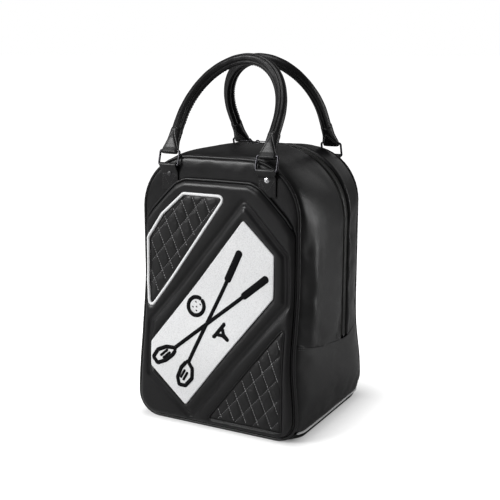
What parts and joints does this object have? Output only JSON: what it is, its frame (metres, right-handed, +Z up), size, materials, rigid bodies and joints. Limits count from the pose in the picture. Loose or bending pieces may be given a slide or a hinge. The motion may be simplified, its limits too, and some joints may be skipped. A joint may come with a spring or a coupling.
{
  "type": "golf shoe bag",
  "caption": "Tall zip-round golf shoe bag in black leather look, with a padded front, quilted insets, white badge and two rolled ring-mounted handles.",
  "frame": {"origin": "on the floor under the middle of the bag's bounding box", "axes": "+Z up, -Y is the front with the badge, +X is the bag's right as seen from the front"},
  "size_m": [0.2574, 0.2214, 0.4904],
  "materials": {
    "black_leather": "semi-matt grained artificial leather",
    "white_leather": "smooth white artificial leather with satin-stitched motif",
    "white_piping": "smooth white covered piping",
    "quilted_leather": "diamond-quilted black leather with pale stitching",
    "base_leather": "matt grained black base material",
    "zip_tape": "woven black zip tape",
    "zip_teeth": "black moulded coil teeth",
    "black_metal": "black nickel",
    "bright_metal": "polished nickel",
    "lining_cloth": "charcoal polyester lining",
    "stiffener_board": "dark polyethylene board",
    "foam_core": "grey rolled foam"
  },
  "bodies": {
    "tub": {"front_panel": "black_leather", "front_overlay": "black_leather", "overlay_piping": "black_leather", "front_piping": "black_leather", "front_gusset": "black_leather", "side_guard_left": "black_leather", "side_guard_right": "black_leather", "back_lower_panel": "black_leather", "back_lower_piping": "black_leather", "tab_front_left": "black_leather", "tab_front_right": "black_leather", "badge_panel": "white_leather", "inset_piping": "white_piping", "base_piping_left": "white_piping", "base_piping_right": "white_piping", "quilted_inset_upper": "quilted_leather", "quilted_inset_lower": "quilted_leather", "base_tray": "base_leather", "zip_tape_front": "zip_tape", "zip_teeth_front": "zip_teeth", "zip_stop_left": "black_metal", "zip_stop_right": "black_metal", "rivet_front_left": "black_metal", "rivet_front_right": "bright_metal", "lining_front": "lining_cloth", "lining_gusset": "lining_cloth", "front_board": "stiffener_board", "base_board": "stiffener_board"},
    "back_lid": {"back_panel": "black_leather", "back_gusset": "black_leather", "back_piping": "black_leather", "zip_tape_back": "zip_tape", "zip_teeth_back": "zip_teeth", "back_board": "stiffener_board", "lid_lining": "lining_cloth", "tab_back_left": "black_leather", "tab_back_right": "black_leather", "rivet_back_left": "black_metal", "rivet_back_right": "black_metal"},
    "ring_front_left": {"ring_front_left": "black_metal"},
    "ring_front_right": {"ring_front_right": "black_metal"},
    "front_handle": {"front_handle_grip": "black_leather", "front_handle_core": "foam_core", "front_handle_foot_left": "black_leather", "front_handle_foot_right": "black_leather"},
    "ring_back_left": {"ring_back_left": "black_metal"},
    "ring_back_right": {"ring_back_right": "black_metal"},
    "back_handle": {"back_handle_grip": "black_leather", "back_handle_core": "foam_core", "back_handle_foot_left": "black_leather", "back_handle_foot_right": "black_leather"},
    "slider_left": {"slider_left": "black_metal"},
    "pull_left": {"pull_left": "black_metal"},
    "slider_right": {"slider_right": "black_metal"},
    "pull_right": {"pull_right": "black_metal"}
  },
  "joints": [
    {"name": "back_lid_hinge", "type": "hinge", "parent": "tub", "child": "back_lid", "pos_m": [0, 0.10363, 0.122], "axis": [-1, 0, 0], "range_deg": [0, 75]},
    {"name": "ring_front_left_hinge", "type": "hinge", "parent": "tub", "child": "ring_front_left", "pos_m": [-0.0715, -0.0955, 0.348], "axis": [1, 0, 0], "range_deg": [0, 95]},
    {"name": "ring_front_right_hinge", "type": "hinge", "parent": "tub", "child": "ring_front_right", "pos_m": [0.0715, -0.0955, 0.348], "axis": [1, 0, 0], "range_deg": [0, 95]},
    {"name": "front_handle_hinge", "type": "hinge", "parent": "ring_front_left", "child": "front_handle", "pos_m": [0, -0.0905, 0.3665], "axis": [1, 0, 0], "range_deg": [-3, 95]},
    {"name": "ring_back_left_hinge", "type": "hinge", "parent": "back_lid", "child": "ring_back_left", "pos_m": [-0.0715, 0.1075, 0.348], "axis": [-1, 0, 0], "range_deg": [0, 95]},
    {"name": "ring_back_right_hinge", "type": "hinge", "parent": "back_lid", "child": "ring_back_right", "pos_m": [0.0715, 0.1075, 0.348], "axis": [-1, 0, 0], "range_deg": [0, 95]},
    {"name": "back_handle_hinge", "type": "hinge", "parent": "ring_back_left", "child": "back_handle", "pos_m": [0, 0.1025, 0.3665], "axis": [-1, 0, 0], "range_deg": [-3, 95]},
    {"name": "slider_left_slide", "type": "slide", "parent": "tub", "child": "slider_left", "axis": [-1, 0, 0], "range_m": [0, 0.012]},
    {"name": "pull_left_hinge", "type": "hinge", "parent": "slider_left", "child": "pull_left", "pos_m": [-0.0194, 0.0334, 0.37105], "axis": [0, 1, 0], "range_deg": [0, 100]},
    {"name": "slider_right_slide", "type": "slide", "parent": "tub", "child": "slider_right", "axis": [1, 0, 0], "range_m": [0, 0.036]},
    {"name": "pull_right_hinge", "type": "hinge", "parent": "slider_right", "child": "pull_right", "pos_m": [-0.0086, 0.0334, 0.37105], "axis": [0, -1, 0], "range_deg": [0, 100]}
  ],
  "couplings": [
    {"joint": "ring_front_right_hinge", "follows": "ring_front_left_hinge", "ratio": 1},
    {"joint": "ring_back_right_hinge", "follows": "ring_back_left_hinge", "ratio": 1}
  ]
}
